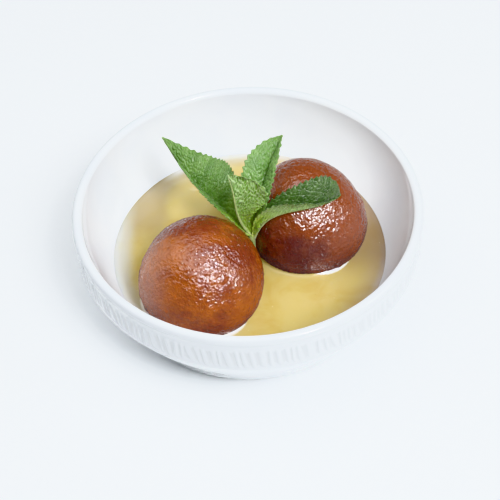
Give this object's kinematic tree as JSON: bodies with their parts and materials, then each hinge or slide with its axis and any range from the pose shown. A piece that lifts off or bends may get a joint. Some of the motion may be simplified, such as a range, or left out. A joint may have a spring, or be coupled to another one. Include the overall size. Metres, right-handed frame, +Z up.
{
  "type": "gulab jamun",
  "caption": "Fried milk balls standing in golden sugar syrup in a small round porcelain bowl with a fluted band, with a sprig of fresh mint between them.",
  "frame": {"origin": "centre of the circle that the bowl's foot stands on, at floor height", "axes": "+Z up along the bowl's axis; +X to the right and +Y away from the side where the lighter ball stands nearer"},
  "size_m": [0.1282, 0.1282, 0.0583],
  "materials": {
    "porcelain": "smooth white glaze",
    "light_crust": "fried orange-brown skin, wet with syrup",
    "dark_crust": "fried dark red-brown skin, wet with syrup",
    "syrup": "cloudy golden sugar syrup, wet surface",
    "mint": "fresh leaf, crinkled between its veins"
  },
  "bodies": {
    "root": {"bowl": "porcelain", "gulab_jamun_front": "light_crust", "gulab_jamun_back": "dark_crust", "syrup": "syrup", "mint_sprig": "mint"}
  },
  "joints": []
}
